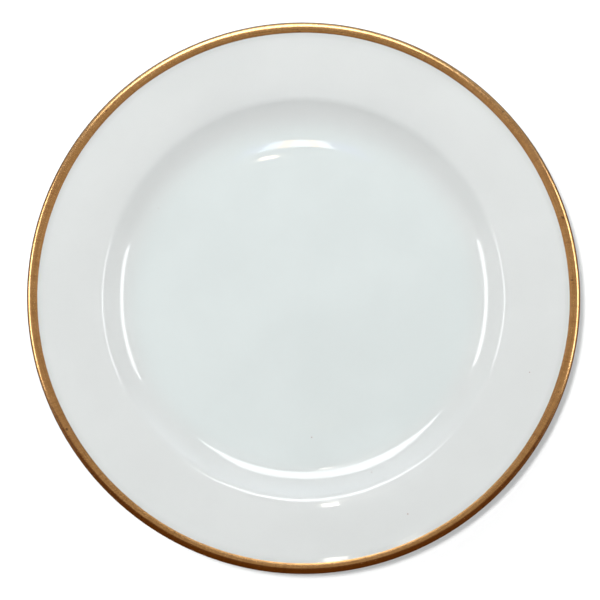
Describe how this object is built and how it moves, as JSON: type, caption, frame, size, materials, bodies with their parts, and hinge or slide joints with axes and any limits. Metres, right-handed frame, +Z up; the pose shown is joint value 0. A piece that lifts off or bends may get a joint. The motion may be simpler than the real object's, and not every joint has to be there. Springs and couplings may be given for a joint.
{
  "type": "dinner plate",
  "caption": "Round china dinner plate with a shallow coved well, a gently sloping rim, a gilded turned-up edge and a foot ring to stand on.",
  "frame": {"origin": "centre of the plate, on the plane that its foot ring stands on", "axes": "+Z up along the axis that the plate is turned about, out of the well; +X and +Y are any two square directions across the plate, because it is round"},
  "size_m": [0.267, 0.267, 0.024],
  "materials": {
    "biscuit": "fired white body, left bare and matt on the foot's bearing face",
    "face_glaze": "clear gloss glaze over white china, a little cool and grey",
    "back_glaze": "the same clear gloss glaze on the back and inside the foot ring",
    "gilt": "burnished fired gold, aged to a brown gold and lightly rubbed"
  },
  "bodies": {
    "root": {"porcelain_body": "biscuit", "face_glaze": "face_glaze", "back_glaze": "back_glaze", "base_glaze": "back_glaze", "gilt_rim_band": "gilt"}
  },
  "joints": []
}
